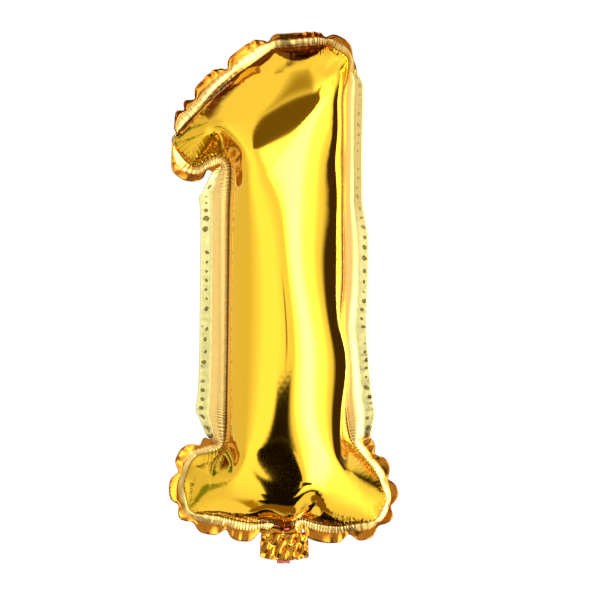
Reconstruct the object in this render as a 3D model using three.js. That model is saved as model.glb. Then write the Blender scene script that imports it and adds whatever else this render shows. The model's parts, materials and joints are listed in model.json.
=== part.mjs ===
// Foil number balloon: an air-filled digit 1 made of two foil panels heat-sealed to each other
// round their edge, with a self-closing film valve in the neck and a flat filling tail below it.
//
// Units are millimetres. +X is to the reader's right, +Z is up, and the readable front faces -Y.
// The seam lies in the plane Y = 0, and the origin is the middle of the balloon's box.

import * as THREE from 'three';

// ---------- driving dimensions ----------
const FILM = 0.4;                // thickness of one foil panel
const SEAL = 0.5;                // thickness of the fused layer between the two panels
const GAP = 0.2;                 // clearance between neighbouring layers
const SEAL_SHARE = 0.58;         // sealed part of the flange; the rest is loose margin
const SAMPLES_PER_STATION = 2;   // mesh columns between two outline stations
const DOME_RINGS = 7;            // mesh rows from the seam up to the crest
const CREST_ANGLE = 1.42;        // radians of the quarter wave at which the flat crest begins

const TAIL_CENTRE_X = -0.5;
const TAIL_WIDTH = 33;           // at the fold
const TAIL_FLARE = 1.2;          // each side edge swings out by this much at the mouth
const TAIL_SEAL_WIDTH = 3;       // side seals that make the two leaves a flat sleeve
const FOLD_Z = -7.5;             // height of the fold line of the tail
const FOLD_CLEARANCE = 1;        // film kept clear on both sides of the fold line
const MOUTH_Z = -23;             // lower edge of the tail
const MOUTH_SAG = 1.5;           // the lower edge bows down by this much in the middle

const VALVE_CENTRE_X = -1;
const VALVE_WIDTH = 20;
const VALVE_TOP_Z = 44;          // the valve reaches this far up inside the balloon
const VALVE_CORNER = 5;          // rounding of the valve's upper corners
const VALVE_FILM = 0.15;
const VALVE_FILM_OFFSET = 0.275; // distance of each valve film from the seam plane
const VALVE_TIP_Z = -28;         // the valve's lower lip shows below the tail
const VALVE_TIP_WIDTH = 9;
const PRINT_WIDTH = 13;
const PRINT_TOP_Z = 28;
const PRINT_THICKNESS = 0.2;

// The balloon's box, from which the origin is set.
const BOX_LOW_Z = VALVE_TIP_Z;

// ---------- outline ----------
// Stations round the digit, from the right of the neck up the right side and back down the left.
// weld is the inner edge of the seal, rim is the cut edge of the foil, and crest is the point on
// the ridge that the dome rises to from this station, with its height above the seam.
const STATIONS = [
  { weld: [11, 6.5], rim: [18, -6.5], crest: [6, 34, 37] },
  { weld: [44, 4], rim: [44, -6], crest: [34, 30, 28.5] },
  { weld: [63, 3], rim: [66, -7], crest: [49, 25, 21] },
  { weld: [70, 14], rim: [81, 12], crest: [51, 25, 20] },
  { weld: [66, 26], rim: [82, 36], crest: [47, 28, 23.5] },
  { weld: [55, 40], rim: [73, 53], crest: [26, 42, 35] },
  { weld: [48.5, 62], rim: [66, 68], crest: [4, 66, 41.5] },
  { weld: [46, 92], rim: [64, 92], crest: [2, 92, 43] },
  { weld: [43.5, 160], rim: [62, 160], crest: [1, 160, 43.5] },
  { weld: [42, 230], rim: [60, 230], crest: [0, 230, 43.5] },
  { weld: [40.5, 285], rim: [57, 280], crest: [0, 280, 42.5] },
  { weld: [40, 320], rim: [54, 322], crest: [2, 298, 40.5] },
  { weld: [39, 337], rim: [49, 343], crest: [3, 302, 39] },
  { weld: [28, 343], rim: [33, 352], crest: [2, 303, 39] },
  { weld: [10, 342.5], rim: [10, 355], crest: [0, 303, 39] },
  { weld: [-9, 340], rim: [-10, 348], crest: [-4, 302, 38] },
  { weld: [-27, 332], rim: [-31, 338.5], crest: [-12, 299, 36] },
  { weld: [-42, 314], rim: [-50, 322], crest: [-24, 295, 32] },
  { weld: [-60, 294], rim: [-71, 305], crest: [-45, 287, 22.5] },
  { weld: [-78, 281], rim: [-87, 286], crest: [-64, 277, 14] },
  { weld: [-79, 268], rim: [-90, 264], crest: [-66, 275, 12.5] },
  { weld: [-76, 260], rim: [-84, 245], crest: [-64, 275, 12.5] },
  { weld: [-69, 267], rim: [-75, 243], crest: [-57, 279, 17] },
  { weld: [-58, 268], rim: [-67.5, 240], crest: [-44, 283, 24.5] },
  { weld: [-49, 260], rim: [-63.5, 234], crest: [-15, 272, 38] },
  { weld: [-44.5, 246], rim: [-62, 225], crest: [0, 250, 42.5] },
  { weld: [-42, 228], rim: [-62, 213], crest: [0, 230, 43.5] },
  { weld: [-41, 160], rim: [-61.6, 160], crest: [0, 160, 43.5] },
  { weld: [-41.5, 95], rim: [-61.3, 95], crest: [0, 95, 43] },
  { weld: [-42.5, 66], rim: [-61, 68], crest: [-2, 66, 41.5] },
  { weld: [-48, 52], rim: [-65, 57], crest: [-22, 45, 36] },
  { weld: [-56, 43], rim: [-74, 50], crest: [-38, 35, 27.5] },
  { weld: [-72, 37], rim: [-80, 41], crest: [-55, 27, 20] },
  { weld: [-74, 25], rim: [-82, 25], crest: [-57, 25, 19] },
  { weld: [-72, 13], rim: [-80, 8], crest: [-56, 25, 19] },
  { weld: [-64, 9], rim: [-66, -3], crest: [-49, 26, 21] },
  { weld: [-40, 8], rim: [-40, -5], crest: [-33, 31, 29.5] },
  { weld: [-14, 6.5], rim: [-19, -6.5], crest: [-8, 34, 37] },
  { weld: [-1.5, 0], rim: [-0.5, -6.4], crest: [-1, 34, 38] },
];
const NECK_RIGHT = 0;
const NECK_LEFT = 37;

const FLANGE_INNER = SEAL / 2 + GAP;
const FLANGE_OUTER = FLANGE_INNER + FILM;
const BODY_EDGE_Z = FOLD_Z + FOLD_CLEARANCE;
const TAIL_TOP_Z = FOLD_Z - FOLD_CLEARANCE;

// ---------- materials ----------
const goldFoil = new THREE.MeshStandardMaterial({ color: 0xe8b422, roughness: 0.12, metalness: 1 });
const sealedFoil = new THREE.MeshStandardMaterial({ color: 0xe9c579, roughness: 0.4, metalness: 0.8 });
const clearFilm = new THREE.MeshStandardMaterial({ color: 0xe9e4d8, roughness: 0.2, metalness: 0 });
const redPrint = new THREE.MeshStandardMaterial({ color: 0xc9302c, roughness: 0.5, metalness: 0 });

// ---------- outline curves ----------
function rail(pick) {
  const points = STATIONS.map((station) => new THREE.Vector3(...pick(station)));
  return new THREE.CatmullRomCurve3(points, true, 'centripetal');
}

const weldRail = rail(({ weld }) => [weld[0], 0, weld[1]]);
const rimRail = rail(({ rim }) => [rim[0], 0, rim[1]]);
const crestRail = rail(({ crest }) => [crest[0], crest[2], crest[1]]);

// One column of the outline: matching points on the three rails.
function column(index) {
  const t = (index / (STATIONS.length * SAMPLES_PER_STATION)) % 1;
  const weld = weldRail.getPoint(t);
  const rim = rimRail.getPoint(t);
  const crest = crestRail.getPoint(t);
  return { weld, rim, crest };
}

const columns = Array.from({ length: STATIONS.length * SAMPLES_PER_STATION }, (_, i) => column(i));

// ---------- foil panels ----------
// A ring of vertices of one skin of a panel. inset moves the skin inwards from the outer one.
function domeRing(angle, inset) {
  return columns.map(({ weld, crest }) => {
    const toCrest = new THREE.Vector3(crest.x - weld.x, 0, crest.z - weld.z);
    const start = weld.clone().addScaledVector(toCrest.clone().normalize(), inset);
    const reach = new THREE.Vector3(crest.x - start.x, 0, crest.z - start.z);
    const point = start.addScaledVector(reach, 1 - Math.cos(angle));
    const base = FLANGE_OUTER - inset;
    point.y = base + (crest.y - inset) * Math.sin(angle);
    return point;
  });
}

function skinRings(inset) {
  const rim = columns.map(({ rim: edge }) => new THREE.Vector3(edge.x, FLANGE_OUTER - inset, edge.z));
  const rings = [rim];
  for (let i = 0; i <= DOME_RINGS; i += 1) {
    rings.push(domeRing((CREST_ANGLE * i) / DOME_RINGS, inset));
  }
  return rings;
}

// Triangles of the band between two rings, and of the flat crest inside the last ring.
function bandTriangles(lower, upper, count, triangles) {
  for (let i = 0; i < count; i += 1) {
    const next = (i + 1) % count;
    triangles.push([lower + i, lower + next, upper + next]);
    triangles.push([lower + i, upper + next, upper + i]);
  }
}

function crestTriangles(ring, first, triangles) {
  const outline = ring.map((point) => new THREE.Vector2(point.x, point.z));
  for (const [a, b, c] of THREE.ShapeUtils.triangulateShape(outline, [])) {
    const turn = outline[b].clone().sub(outline[a]).cross(outline[c].clone().sub(outline[a]));
    const corners = turn > 0 ? [a, b, c] : [a, c, b];
    triangles.push(corners.map((corner) => first + corner));
  }
}

// A foil panel is one closed thin shell: outer skin, inner skin and the cut edge between them.
// side is -1 for the front panel and +1 for the back one.
function foilPanel(side) {
  const count = columns.length;
  const skins = [skinRings(0), skinRings(FILM)];
  const points = skins.flat(2);
  const skinSize = skins[0].length * count;
  const outer = [];
  const inner = [];
  for (const [skin, triangles] of [[0, outer], [1, inner]]) {
    const first = skin * skinSize;
    for (let ring = 0; ring + 1 < skins[skin].length; ring += 1) {
      bandTriangles(first + ring * count, first + (ring + 1) * count, count, triangles);
    }
    const last = skins[skin].length - 1;
    crestTriangles(skins[skin][last], first + last * count, triangles);
  }
  const edge = [];
  bandTriangles(skinSize, 0, count, edge);
  const faces = [...outer, ...inner.map(([a, b, c]) => [a, c, b]), ...edge];
  return shellGeometry(points, faces, side);
}

function shellGeometry(points, faces, side) {
  const geometry = new THREE.BufferGeometry();
  const coordinates = points.flatMap((point) => [point.x, side * point.y, point.z]);
  geometry.setAttribute('position', new THREE.Float32BufferAttribute(coordinates, 3));
  const index = faces.flatMap(([a, b, c]) => (side > 0 ? [a, c, b] : [a, b, c]));
  geometry.setIndex(index);
  geometry.computeVertexNormals();
  return geometry;
}

// ---------- flat pieces in the seam plane ----------
// outline is a list of [x, z]; the piece is centred on y.
function flatPiece(name, outline, thickness, y, material) {
  const shape = new THREE.Shape(outline.map(([x, z]) => new THREE.Vector2(x, z)));
  const geometry = new THREE.ExtrudeGeometry(shape, { depth: thickness, bevelEnabled: false });
  geometry.translate(0, 0, -thickness / 2);
  const mesh = new THREE.Mesh(geometry, material);
  mesh.name = name;
  mesh.rotation.x = Math.PI / 2;
  mesh.position.y = y;
  return mesh;
}

function named(name, geometry, material) {
  const mesh = new THREE.Mesh(geometry, material);
  mesh.name = name;
  return mesh;
}

// The seal runs round the digit from one side of the neck to the other and leaves the neck open.
// Each column has four corners: inner and outer edge, on the front and on the back.
function perimeterSeal() {
  const first = NECK_RIGHT * SAMPLES_PER_STATION;
  const last = NECK_LEFT * SAMPLES_PER_STATION;
  const points = [];
  for (let i = first; i <= last; i += 1) {
    const { weld, rim } = columns[i];
    const edge = weld.clone().lerp(rim, SEAL_SHARE);
    points.push(new THREE.Vector3(weld.x, -SEAL / 2, weld.z));
    points.push(new THREE.Vector3(edge.x, -SEAL / 2, edge.z));
    points.push(new THREE.Vector3(edge.x, SEAL / 2, edge.z));
    points.push(new THREE.Vector3(weld.x, SEAL / 2, weld.z));
  }
  const faces = [];
  const corners = 4;
  const end = points.length - corners;
  for (let start = 0; start < end; start += corners) {
    bandTriangles(start + corners, start, corners, faces);
  }
  faces.push([0, 1, 2], [0, 2, 3], [end + 2, end + 1, end], [end + 3, end + 2, end]);
  return named('perimeter_seal', shellGeometry(points, faces, 1), sealedFoil);
}

// ---------- valve ----------
function valveBodyOutline() {
  const half = VALVE_WIDTH / 2;
  const shoulder = VALVE_TOP_Z - VALVE_CORNER;
  return [
    [VALVE_CENTRE_X - half, BODY_EDGE_Z],
    [VALVE_CENTRE_X + half, BODY_EDGE_Z],
    [VALVE_CENTRE_X + half, shoulder],
    [VALVE_CENTRE_X + half - VALVE_CORNER, VALVE_TOP_Z],
    [VALVE_CENTRE_X - half + VALVE_CORNER, VALVE_TOP_Z],
    [VALVE_CENTRE_X - half, shoulder],
  ];
}

function valveLipOutline() {
  const half = VALVE_WIDTH / 2;
  const tip = VALVE_TIP_WIDTH / 2;
  return [
    [VALVE_CENTRE_X - half, MOUTH_Z + MOUTH_SAG],
    [VALVE_CENTRE_X - tip, VALVE_TIP_Z],
    [VALVE_CENTRE_X + tip, VALVE_TIP_Z],
    [VALVE_CENTRE_X + half, MOUTH_Z + MOUTH_SAG],
    [VALVE_CENTRE_X + half, TAIL_TOP_Z],
    [VALVE_CENTRE_X - half, TAIL_TOP_Z],
  ];
}

function releasePrint() {
  const half = PRINT_WIDTH / 2;
  const outline = [
    [VALVE_CENTRE_X - half, BODY_EDGE_Z],
    [VALVE_CENTRE_X + half, BODY_EDGE_Z],
    [VALVE_CENTRE_X + half, PRINT_TOP_Z],
    [VALVE_CENTRE_X - half, PRINT_TOP_Z],
  ];
  return flatPiece('valve_release_print', outline, PRINT_THICKNESS, 0, redPrint);
}

function valve() {
  const group = new THREE.Group();
  const outline = valveBodyOutline();
  group.add(flatPiece('valve_front_film', outline, VALVE_FILM, -VALVE_FILM_OFFSET, clearFilm));
  group.add(flatPiece('valve_back_film', outline, VALVE_FILM, VALVE_FILM_OFFSET, clearFilm));
  group.add(releasePrint());
  return group;
}

// ---------- filling tail ----------
function sideEdge(side, z) {
  const share = (TAIL_TOP_Z - z) / (TAIL_TOP_Z - MOUTH_Z);
  return TAIL_CENTRE_X + side * (TAIL_WIDTH / 2 + TAIL_FLARE * share);
}

function tailLeafOutline() {
  const mouth = [];
  const steps = 8;
  for (let i = 0; i <= steps; i += 1) {
    const across = i / steps;
    const x = THREE.MathUtils.lerp(sideEdge(-1, MOUTH_Z), sideEdge(1, MOUTH_Z), across);
    mouth.push([x, MOUTH_Z - MOUTH_SAG * Math.sin(Math.PI * across)]);
  }
  return [...mouth, [sideEdge(1, TAIL_TOP_Z), TAIL_TOP_Z], [sideEdge(-1, TAIL_TOP_Z), TAIL_TOP_Z]];
}

function tailSideSeal(name, side) {
  const inward = -side * TAIL_SEAL_WIDTH;
  const outline = [
    [sideEdge(side, MOUTH_Z), MOUTH_Z],
    [sideEdge(side, TAIL_TOP_Z), TAIL_TOP_Z],
    [sideEdge(side, TAIL_TOP_Z) + inward, TAIL_TOP_Z],
    [sideEdge(side, MOUTH_Z) + inward, MOUTH_Z],
  ];
  return flatPiece(name, outline, SEAL, 0, sealedFoil);
}

function tail() {
  const group = new THREE.Group();
  const leafOffset = FLANGE_INNER + FILM / 2;
  const leaf = tailLeafOutline();
  const lip = valveLipOutline();
  group.add(flatPiece('tail_front_leaf', leaf, FILM, -leafOffset, goldFoil));
  group.add(flatPiece('tail_back_leaf', leaf, FILM, leafOffset, goldFoil));
  group.add(tailSideSeal('tail_left_seal', -1));
  group.add(tailSideSeal('tail_right_seal', 1));
  group.add(flatPiece('mouth_front_film', lip, VALVE_FILM, -VALVE_FILM_OFFSET, clearFilm));
  group.add(flatPiece('mouth_back_film', lip, VALVE_FILM, VALVE_FILM_OFFSET, clearFilm));
  return group;
}

// ---------- assembly ----------
function centreOfBox() {
  const box = new THREE.Box3();
  columns.forEach(({ rim }) => box.expandByPoint(rim));
  box.min.z = BOX_LOW_Z;
  return new THREE.Vector3((box.min.x + box.max.x) / 2, 0, (box.min.z + box.max.z) / 2);
}

const balloon = new THREE.Group();
balloon.add(named('front_panel', foilPanel(-1), goldFoil));
balloon.add(named('back_panel', foilPanel(1), goldFoil));
balloon.add(perimeterSeal());
balloon.add(valve());
balloon.add(tail());
balloon.position.copy(centreOfBox()).negate();

const part = new THREE.Group();
part.add(balloon);

export default part;
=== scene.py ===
import json
import math

import bpy
import numpy as np
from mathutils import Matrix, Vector
from mathutils.geometry import delaunay_2d_cdt


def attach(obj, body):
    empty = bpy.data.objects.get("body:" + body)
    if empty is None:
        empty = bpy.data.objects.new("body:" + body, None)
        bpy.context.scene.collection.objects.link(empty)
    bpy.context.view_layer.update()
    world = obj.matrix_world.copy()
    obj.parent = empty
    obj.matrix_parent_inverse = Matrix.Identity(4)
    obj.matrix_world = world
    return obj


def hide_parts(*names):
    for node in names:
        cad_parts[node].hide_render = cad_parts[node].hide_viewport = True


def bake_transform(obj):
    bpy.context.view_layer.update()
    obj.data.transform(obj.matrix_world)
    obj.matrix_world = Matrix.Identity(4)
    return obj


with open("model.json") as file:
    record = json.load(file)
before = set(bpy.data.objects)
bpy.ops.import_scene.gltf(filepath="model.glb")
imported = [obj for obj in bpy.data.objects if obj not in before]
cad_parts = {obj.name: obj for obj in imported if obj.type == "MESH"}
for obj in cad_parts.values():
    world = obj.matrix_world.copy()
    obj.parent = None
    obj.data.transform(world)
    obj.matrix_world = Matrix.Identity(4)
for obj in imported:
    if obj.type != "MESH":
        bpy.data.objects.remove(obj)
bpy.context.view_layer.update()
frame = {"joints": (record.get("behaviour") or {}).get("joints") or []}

MM = 0.001

# The digit is drawn in millimetres from the bottom of the seam. The tail's fold line is at
# FOLD_POINT in that drawing, and the frame says where the fold line is on the part.
FOLD_POINT = Vector((-0.5, 0.0, -7.5))
FOLD = next(joint for joint in frame["joints"] if joint["name"] == "tail_fold")
ORIGIN = Vector(FOLD["pos_m"]) - FOLD_POINT * MM

# ----- the flat pattern -----
# Corners of the seam in the flat foil, counter-clockwise from the right of the neck, each as
# x, z and the radius that rounds it, in millimetres.
FLAT_CORNERS = [
    (16, -11, 4), (46, -10, 6), (72, -5, 6), (83, 10, 6), (82, 27, 7),  # right foot
    (74, 56, 20), (73, 120, 60),  # right of the stem
    (52, 346, 7), (32, 353, 7), (-10, 350, 7), (-38, 334, 7),  # top
    (-91, 296, 5), (-90, 272, 6), (-69, 268, 15),  # flag
    (-65, 50, 16), (-80, 38, 6), (-80, 14, 6), (-72, -4, 6),  # left foot
    (-42, -10, 7), (-15, -12, 4), (1, -21, 6)]  # channel of the tail
FLANGE = 20.0  # from the seam's inner edge to the cut edge
SEALED_SHARE = 0.58  # of the flange: the rest is loose margin
CONCAVE_SHARE = 0.85  # of a concave corner's radius that the flange may take
NARROWING = 1.2  # mm for each step along the seam, on the way there
SEAM_STEP = 2.0  # spacing of the vertices along the seam
FINE_STEP = 2.3  # near it
COARSE_STEP = 4.6  # and away from it
FINE_DEPTH = 24.0  # how far from the seam that begins
FLANGE_SHARES = (0.15, 0.3, 0.44, SEALED_SHARE, 0.72, 0.86, 1.0)
TAIL_MIDDLE = -0.5
TAIL_WIDTH = 33.0
TAIL_ABOVE = -24.0  # the rim points below this height and over the tail carry it
TAIL_BOTTOM = -47.0
TAIL_SAG = 1.5
TAIL_FLARE = 1.2
TAIL_STEP = 1.6


def rounded_outline(corners, step):
    """A closed polygon with rounded corners, as evenly spaced points."""
    dense = []
    count = len(corners)
    for i, (x, z, radius) in enumerate(corners):
        here = np.array([x, z], float)
        before = np.array(corners[i - 1][:2], float) - here
        after = np.array(corners[(i + 1) % count][:2], float) - here
        before, after = before / np.linalg.norm(before), after / np.linalg.norm(after)
        half = math.acos(np.clip(before @ after, -1, 1)) / 2
        middle = here + (before + after) / np.linalg.norm(before + after) * radius / math.sin(half)
        start = here + before * radius / math.tan(half) - middle
        end = here + after * radius / math.tan(half) - middle
        sweep = math.pi - 2 * half
        for t in np.linspace(0, 1, 24):
            blend = (math.sin((1 - t) * sweep) * start + math.sin(t * sweep) * end) / math.sin(sweep)
            dense.append(middle + blend)
    dense = np.array(dense + dense[:1])
    along = np.concatenate([[0], np.cumsum(np.linalg.norm(np.diff(dense, axis=0), axis=1))])
    targets = np.linspace(0, along[-1], int(along[-1] / step) + 1)[:-1]
    return np.stack([np.interp(targets, along, dense[:, k]) for k in (0, 1)], axis=1)


def smooth_loop(values, passes):
    """Averages each sample of a closed loop with its neighbours."""
    for _ in range(passes):
        values = (np.roll(values, 1, axis=0) + 2 * values + np.roll(values, -1, axis=0)) / 4
    return values


def flange_vectors(seam, width):
    """From each seam point to the cut edge: square to the seam, and shorter in concave corners."""
    ahead = np.roll(seam, -1, axis=0) - seam
    behind = seam - np.roll(seam, 1, axis=0)
    tangent = ahead + behind
    tangent /= np.linalg.norm(tangent, axis=1)[:, None]
    normal = np.stack([tangent[:, 1], -tangent[:, 0]], axis=1)
    turn = ahead[:, 0] * behind[:, 1] - ahead[:, 1] * behind[:, 0]
    spacing = np.linalg.norm(ahead + behind, axis=1) / 2
    bend = turn / spacing ** 3
    room = np.where(bend > 1e-3, CONCAVE_SHARE / np.maximum(bend, 1e-3), width)
    width = np.minimum(width, room)
    for _ in range(6):
        width = np.minimum(width, np.minimum(np.roll(width, 1), np.roll(width, -1)) + NARROWING)
    return normal * smooth_loop(width[:, None], 4)


def inside(points, loop):
    """Even-odd test of points against a closed loop."""
    a, b = loop, np.roll(loop, -1, axis=0)
    x, z = points[:, 0:1], points[:, 1:2]
    crosses = (a[:, 1] > z) != (b[:, 1] > z)
    rise = np.where(b[:, 1] == a[:, 1], 1e-9, b[:, 1] - a[:, 1])
    where = a[:, 0] + (z - a[:, 1]) / rise * (b[:, 0] - a[:, 0])
    return (crosses & (x < where)).sum(axis=1) % 2 == 1


def hex_grid(low, high, step):
    rows = np.arange(low[1], high[1], step * math.sqrt(0.75))
    cols = np.arange(low[0], high[0], step)
    x, z = np.meshgrid(cols, rows)
    x = x + (np.arange(len(rows)) % 2)[:, None] * step / 2
    return np.stack([x.ravel(), z.ravel()], axis=1)


def distance_to(points, loop):
    return np.sqrt(((points[:, None, :] - loop[None, :, :]) ** 2).sum(axis=2)).min(axis=1)


def tail_points(rim):
    """The flat tail under the neck: which rim points it hangs from, its outline and its inside."""
    left, right = TAIL_MIDDLE - TAIL_WIDTH / 2, TAIL_MIDDLE + TAIL_WIDTH / 2
    hung = (rim[:, 0] > left) & (rim[:, 0] < right) & (rim[:, 1] < TAIL_ABOVE)
    top = rim[hung, 1].max()
    down = np.arange(top, TAIL_BOTTOM, -TAIL_STEP)
    across = np.arange(left - TAIL_FLARE + TAIL_STEP, right + TAIL_FLARE, TAIL_STEP)
    swing = TAIL_FLARE * (top - down) / (top - TAIL_BOTTOM)
    bow = TAIL_BOTTOM - TAIL_SAG * np.sin(np.pi * (across - left) / TAIL_WIDTH)
    outline = np.concatenate([
        np.stack([left - swing, down], axis=1),
        np.stack([across, bow], axis=1),
        np.stack([(right + swing)[::-1], down[::-1]], axis=1)])
    grid = hex_grid((left, TAIL_BOTTOM), (right, top), TAIL_STEP)
    grid = grid[inside(grid, outline) & (distance_to(grid, outline) > TAIL_STEP * 0.6)]
    return hung, outline, grid[distance_to(grid, rim) > TAIL_STEP * 0.6]


def flat_pattern():
    """Triangulated flat foil: points, triangles, and which input point each came from."""
    seam = smooth_loop(rounded_outline(FLAT_CORNERS, SEAM_STEP), 2)
    flange = flange_vectors(seam, FLANGE)
    low, high = seam.min(axis=0), seam.max(axis=0)
    fine = hex_grid(low, high, FINE_STEP)
    fine = fine[inside(fine, seam)]
    gap = distance_to(fine, seam)
    fine = fine[(gap > 0.6 * FINE_STEP) & (gap < FINE_DEPTH)]
    coarse = hex_grid(low, high, COARSE_STEP)
    coarse = coarse[inside(coarse, seam)]
    coarse = coarse[distance_to(coarse, seam) > FINE_DEPTH]
    loops = [seam] + [seam + flange * share for share in FLANGE_SHARES]
    hung, outline, within = tail_points(loops[-1])
    count = len(seam)
    tail_first = count * len(loops)
    edges = [(i, (i + 1) % count) for i in range(count)]
    rim_first = tail_first - count
    free = [i for i in range(count) if not hung[i]]
    edges += [(rim_first + i, rim_first + (i + 1) % count) for i in free if not hung[(i + 1) % count]]
    before = next(i for i in free if hung[(i + 1) % count])
    after = next(i for i in free if hung[i - 1])
    chain = [rim_first + before, *range(tail_first, tail_first + len(outline)), rim_first + after]
    edges += list(zip(chain[:-1], chain[1:]))
    points = np.concatenate([*loops, outline, within, fine, coarse])
    made = delaunay_2d_cdt([Vector(p) for p in points], edges, [], 1, 1e-6)
    return {"points": np.array([v[:] for v in made[0]]), "triangles": made[2],
            "origins": np.array([o[0] for o in made[3]]), "count": count, "loops": len(loops),
            "tail_end": tail_first + len(outline) + len(within), "hung": hung, "seam": seam}


# ----- inflation -----
SIM_SCALE = 10.0  # the cloth solver works better on a large balloon
SIM_FRAMES = 46
START_DOME = 0.25  # how far each flat panel starts from the middle, mm


def sheet_mesh(pattern):
    """Both panels, the flange and the tail as one mesh, with the seam's vertices shared.

    For each vertex, share is 0 on the panels, up to 1 across the flange and 2 on the tail."""
    count, loops = pattern["count"], pattern["loops"]
    origins, flat = pattern["origins"], pattern["points"]
    interior = np.where(origins >= pattern["tail_end"])[0]
    back_of = {int(k): len(flat) + n for n, k in enumerate(interior)}
    on_loop = origins < count * loops
    share = np.where(origins < pattern["tail_end"], 2.0, 0.0)
    share[on_loop] = np.array((0.0, *FLANGE_SHARES))[origins[on_loop] // count]
    faces, regions = [], []
    for triangle in pattern["triangles"]:
        reach = max(share[k] for k in triangle)
        if reach == 0:
            faces.append(tuple(triangle))
            regions.append("front")
            faces.append(tuple(back_of.get(k, k) for k in reversed(triangle)))
            regions.append("back")
        else:
            faces.append(tuple(triangle))
            regions.append("tail" if reach > 1 else "seal" if reach <= SEALED_SHARE else "margin")
    points = np.concatenate([flat, flat[interior]])
    side = np.zeros(len(points))
    side[interior] = -1
    side[len(flat):] = 1
    loop_of = np.full(len(points), -1)
    loop_of[:len(flat)][on_loop] = origins[on_loop] // count
    place_of = np.full(len(points), -1)
    place_of[:len(flat)][on_loop] = origins[on_loop] % count
    return {"flat": points, "faces": faces, "regions": np.array(regions), "side": side,
            "loop": loop_of, "place": place_of,
            "share": np.concatenate([share, np.zeros(len(interior))])}


def new_mesh(name, points, faces):
    mesh = bpy.data.meshes.new(name)
    mesh.from_pydata(np.array(points).tolist(), [], faces)
    mesh.update()
    return mesh


def placed(name, mesh):
    """A new object in the scene."""
    thing = bpy.data.objects.new(name, mesh)
    bpy.context.scene.collection.objects.link(thing)
    return thing


def read(items, key, width, kind=float):
    """One property of every vertex or corner, as a flat array."""
    values = np.empty(len(items) * width, kind)
    items.foreach_get(key, values)
    return values


def inflate(sheets):
    """The points, in mm, that Blender's cloth settles to with air between the two panels."""
    flat = sheets["flat"]
    start = np.stack([flat[:, 0], sheets["side"] * START_DOME, flat[:, 1]], axis=1)
    mesh = new_mesh("inflating", start * MM * SIM_SCALE, sheets["faces"])
    body = placed("inflating", mesh)
    pressed = body.vertex_groups.new(name="pressed")
    pressed.add([int(k) for k in np.where(sheets["side"] != 0)[0]], 1.0, "REPLACE")
    modifier = body.modifiers.new("cloth", "CLOTH")
    cloth = modifier.settings
    cloth.quality = 8
    cloth.mass = 0.02
    cloth.tension_stiffness = cloth.compression_stiffness = 3000
    cloth.shear_stiffness = 1500
    cloth.bending_stiffness = 0.02
    cloth.tension_damping = cloth.compression_damping = cloth.shear_damping = 10
    cloth.air_damping = 3
    cloth.use_pressure = True
    cloth.uniform_pressure_force = 30
    cloth.vertex_group_pressure = "pressed"
    cloth.effector_weights.gravity = 0
    modifier.collision_settings.use_collision = False
    modifier.collision_settings.use_self_collision = False
    modifier.point_cache.frame_start, modifier.point_cache.frame_end = 1, SIM_FRAMES
    scene = bpy.context.scene
    for number in range(1, SIM_FRAMES + 1):
        scene.frame_set(number)
    shape = body.evaluated_get(bpy.context.evaluated_depsgraph_get()).to_mesh()
    points = read(shape.vertices, "co", 3).reshape(-1, 3) / (MM * SIM_SCALE)
    scene.frame_set(1)
    bpy.data.objects.remove(body)
    bpy.data.meshes.remove(mesh)
    return points


# ----- from the settled cloth to the photographed shape -----
# Where the settled foil is eased over, and how far: x, z, then the move, in millimetres.
NUDGES = [
    (38, 134, 6, 0), (40, 112, 3, 0), (52, 84, -3, 0), (52, 336, -7, -2), (56, 62, -5, 0),
    (74, 30, -3, 0), (44, 5, 0, -2), (-76, 262, 0, -3), (-72, 284, -5, 0), (-50, 308, -2, 2.5),
    (-48, 256, 2, 0), (-17, 15, 0, -9), (19, 17, 0, -9), (1, -2, 0, 4.5)]
NUDGE_REACH = 16.0
CREST_SHIFT = 5.5  # how far left the domes are at their highest, mm
CREST_HEIGHT = 43.0
CREST_RAMP = (30.0, 40.0)  # z where that shift sets in, and how much higher it is whole
CREST_LEAST = 0.3  # of the shift, at the foot

# Smoothing of the panels: passes, and how far a vertex goes towards its neighbours in each.
RELAX_PASSES = 8
RELAX_SHARE = 0.12
RELAX_NEAR_NECK = 0.5
RELAX_NECK = (-2, 8, 26)  # x, z and reach of that place, mm
STEM_PASSES = 50  # of smoothing up and down the stem, which keeps its section
STEM_SHARE = 0.5
STEM_BOTTOM, STEM_RAMP = 52, 26
STEM_TOPS = [(-40, 236), (-8, 250), (44, 330)]  # x, z: it ends below the flag and the top

# How the flange lies round the panels, in millimetres.
CALM_PASSES = 24  # of smoothing along the seam, for the line that the flange follows
STRAIGHT_PASSES = 260  # and beside the stem
SPREAD = 0.78  # how far the flange is laid out square to the seam, from how it settled
TALL_SPREAD = 0.96  # beside the stem
TALL_FROM, TALL_TO = 62.0, 330.0
TALL_REACH = 9  # seam points each way, to tell how upright it is
TALL_UPRIGHT = 0.9
TALL_WIDTH = 20.5  # of the flange beside the stem
SHORT_WIDTH = 12.8  # and everywhere else, where it is gathered
TUCKED_ABOVE = 205  # above this the right side's flange curls back,
TUCK_RAMP = 26  # wholly so this much higher,
TUCK = 5.5  # shows this much less
TUCK_SHADE = 0.5  # and is this much browner than the strip below: less painted reflection, more painted shade where it curls back
BAND_BOW = 1.0  # how far the weld band bows to the front
BAND_NARROWING = 0.75  # how much the band gives way to the margin round the foot
FOOT_TUCK = 0.24  # how much narrower it lies at the two sides of the foot,
FOOT_TOP = 60  # below this z
TAIL_RISE = 22.0  # how far the tail is drawn up as the panels fill

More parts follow.
